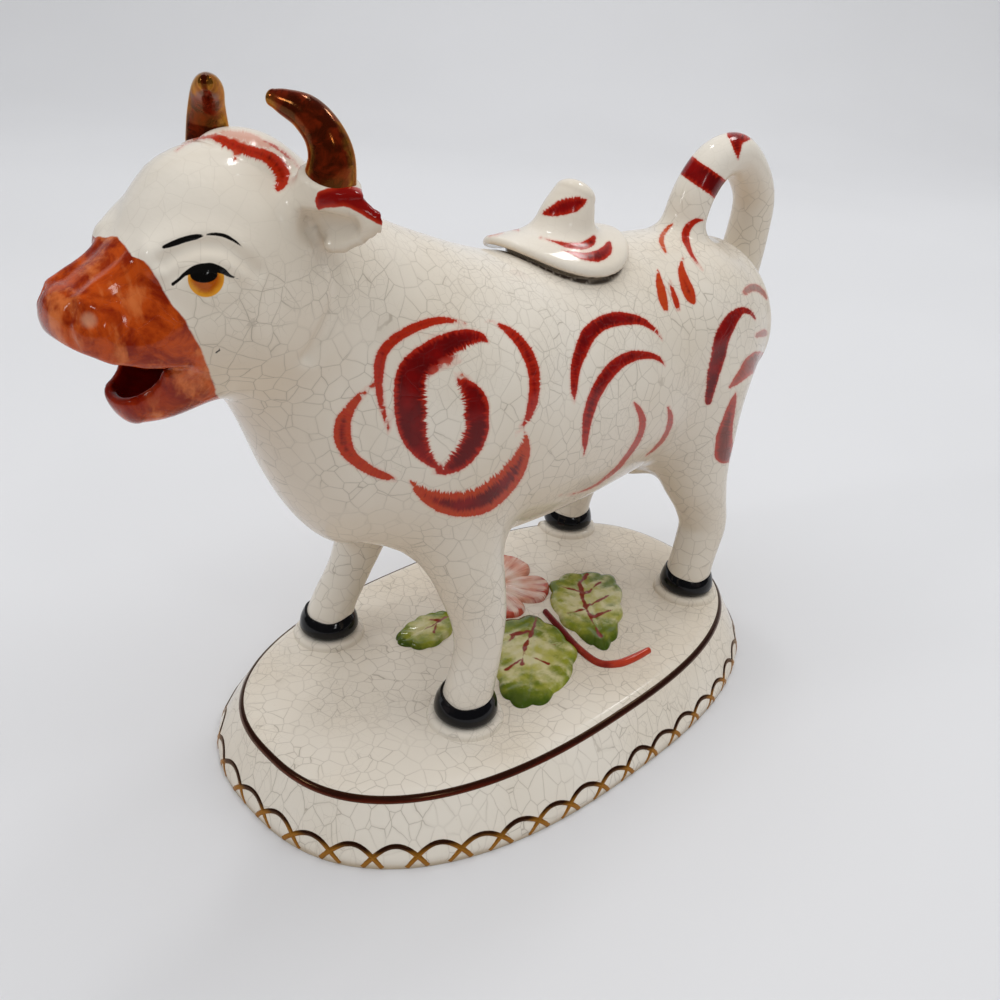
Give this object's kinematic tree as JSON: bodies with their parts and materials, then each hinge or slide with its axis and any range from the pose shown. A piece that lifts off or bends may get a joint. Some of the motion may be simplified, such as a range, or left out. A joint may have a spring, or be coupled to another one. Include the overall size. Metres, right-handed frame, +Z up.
{
  "type": "lidded cream jug",
  "caption": "Hollow cream jug shaped as a standing cow on an oval plinth: lift-off lid in the back, looped tail as handle, open mouth as spout.",
  "frame": {"origin": "on the table, halfway between the nose and the back of the tail and halfway across the plinth", "axes": "+X from the cow's head to its tail, +Y to the cow's right side, +Z up"},
  "size_m": [0.1798, 0.087, 0.1333],
  "materials": {
    "cream_glaze": "glossy cream glaze with fine crackle and red brush strokes",
    "black_glaze": "glossy black enamel",
    "copper_lustre": "mottled copper and gold lustre",
    "leaf_green": "glossy green over moulded relief",
    "flower_red": "glossy salmon red over moulded relief"
  },
  "bodies": {
    "jug": {"plinth": "cream_glaze", "body_shell": "cream_glaze", "fore_leg_left": "cream_glaze", "fore_leg_right": "cream_glaze", "hind_leg_left": "cream_glaze", "hind_leg_right": "cream_glaze", "fore_hoof_left": "black_glaze", "fore_hoof_right": "black_glaze", "hind_hoof_left": "black_glaze", "hind_hoof_right": "black_glaze", "horn_left": "copper_lustre", "horn_right": "copper_lustre", "ear_left": "cream_glaze", "ear_right": "cream_glaze", "tail_handle": "cream_glaze", "udder": "cream_glaze", "flower": "flower_red", "leaf_left": "leaf_green", "leaf_middle": "leaf_green", "leaf_right": "leaf_green", "flower_stem": "flower_red"},
    "lid": {"lid": "cream_glaze", "lid_knob": "cream_glaze"}
  },
  "joints": [
    {"name": "lid_lift", "type": "slide", "parent": "jug", "child": "lid", "axis": [0, 0, 1], "range_m": [0, 0.045]}
  ]
}
